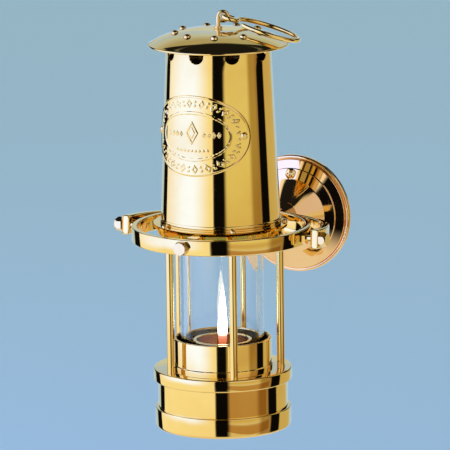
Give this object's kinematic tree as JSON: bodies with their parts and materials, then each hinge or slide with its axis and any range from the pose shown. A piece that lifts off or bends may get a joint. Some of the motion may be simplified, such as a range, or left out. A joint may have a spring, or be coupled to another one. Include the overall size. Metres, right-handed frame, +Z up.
{
  "type": "miner's safety lamp in a wall gimbal",
  "caption": "Brass oil safety lamp with a glass chimney, gauzes and a tapered bonnet, hung in a two-axis gimbal on a wall bracket.",
  "frame": {"origin": "centre of the wall rose's flat back, on the wall", "axes": "+Y into the wall, +Z up, +X to the right as seen from the room"},
  "size_m": [0.149, 0.2054, 0.27],
  "materials": {
    "polished_brass": "mirror polished, lacquered",
    "bracket_brass": "mirror polished",
    "fastener_brass": "polished, with fine machining marks",
    "inner_brass": "satin, heat toned",
    "burner_copper": "satin, heat toned",
    "steel": "brushed",
    "gauze_steel": "woven wire, dull",
    "lamp_glass": "clear",
    "washer": "matt",
    "leather_seal": "matt",
    "wick_cotton": "woven, charred at the top"
  },
  "bodies": {
    "bracket": {"wall_rose": "bracket_brass", "wall_screws": "fastener_brass", "neck": "bracket_brass", "neck_bolt": "steel", "yoke": "bracket_brass"},
    "gimbal": {"gimbal_ring": "polished_brass", "outer_pivot_left": "fastener_brass", "outer_pivot_right": "fastener_brass", "lock_nut_left": "fastener_brass", "lock_nut_right": "fastener_brass"},
    "lamp": {"inner_pivot_front": "fastener_brass", "inner_pivot_back": "fastener_brass", "cage_top_plate": "polished_brass", "plate_screws": "fastener_brass", "pillar_1": "polished_brass", "pillar_2": "polished_brass", "pillar_3": "polished_brass", "pillar_4": "polished_brass", "pillar_5": "polished_brass", "cage_base_ring": "polished_brass", "glass_collar": "polished_brass", "glass": "lamp_glass", "glass_washer_lower": "washer", "glass_washer_upper": "washer", "gauze_ring": "inner_brass", "inner_gauze": "gauze_steel", "outer_gauze": "gauze_steel", "bonnet_base": "polished_brass", "bonnet": "polished_brass", "bonnet_top_flange": "inner_brass", "lid": "polished_brass", "lid_rivets": "fastener_brass", "badge": "polished_brass", "badge_screws": "fastener_brass"},
    "vessel": {"oil_vessel": "polished_brass", "base_rim": "polished_brass", "vessel_seal": "leather_seal", "filler_plug": "fastener_brass", "burner_cup": "burner_copper", "wick_tube": "inner_brass"},
    "adjuster": {"wick_adjuster_rod": "steel", "wick_adjuster_knob": "fastener_brass"},
    "wick": {"wick": "wick_cotton"},
    "swivel": {"hook_stud": "fastener_brass", "swivel_nut": "fastener_brass"},
    "hook": {"carrying_hook": "polished_brass"}
  },
  "joints": [
    {"name": "gimbal_pitch", "type": "hinge", "parent": "bracket", "child": "gimbal", "pos_m": [0, -0.118, 0.009], "axis": [1, 0, 0], "range_deg": [-30, 30]},
    {"name": "gimbal_roll", "type": "hinge", "parent": "gimbal", "child": "lamp", "pos_m": [0, -0.118, 0.009], "axis": [0, 1, 0], "range_deg": [-30, 30]},
    {"name": "vessel_drop", "type": "slide", "parent": "lamp", "child": "vessel", "axis": [0, 0, -1], "range_m": [0, 0.06]},
    {"name": "knob_turn", "type": "hinge", "parent": "vessel", "child": "adjuster", "pos_m": [0.011, -0.118, -0.11], "axis": [0, 0, 1], "range_deg": [-180, 360]},
    {"name": "wick_lift", "type": "slide", "parent": "vessel", "child": "wick", "axis": [0, 0, 1], "range_m": [-0.002, 0.004]},
    {"name": "hook_swivel", "type": "hinge", "parent": "lamp", "child": "swivel", "pos_m": [0, -0.118, 0.14], "axis": [0, 0, 1], "continuous": true},
    {"name": "hook_fold", "type": "hinge", "parent": "swivel", "child": "hook", "pos_m": [0.0029, -0.11665, 0.1483], "axis": [0.4226, -0.9063, 0], "range_deg": [0, 150]}
  ],
  "couplings": [
    {"joint": "wick_lift", "follows": "knob_turn", "m_per_rad": 0.0006}
  ]
}
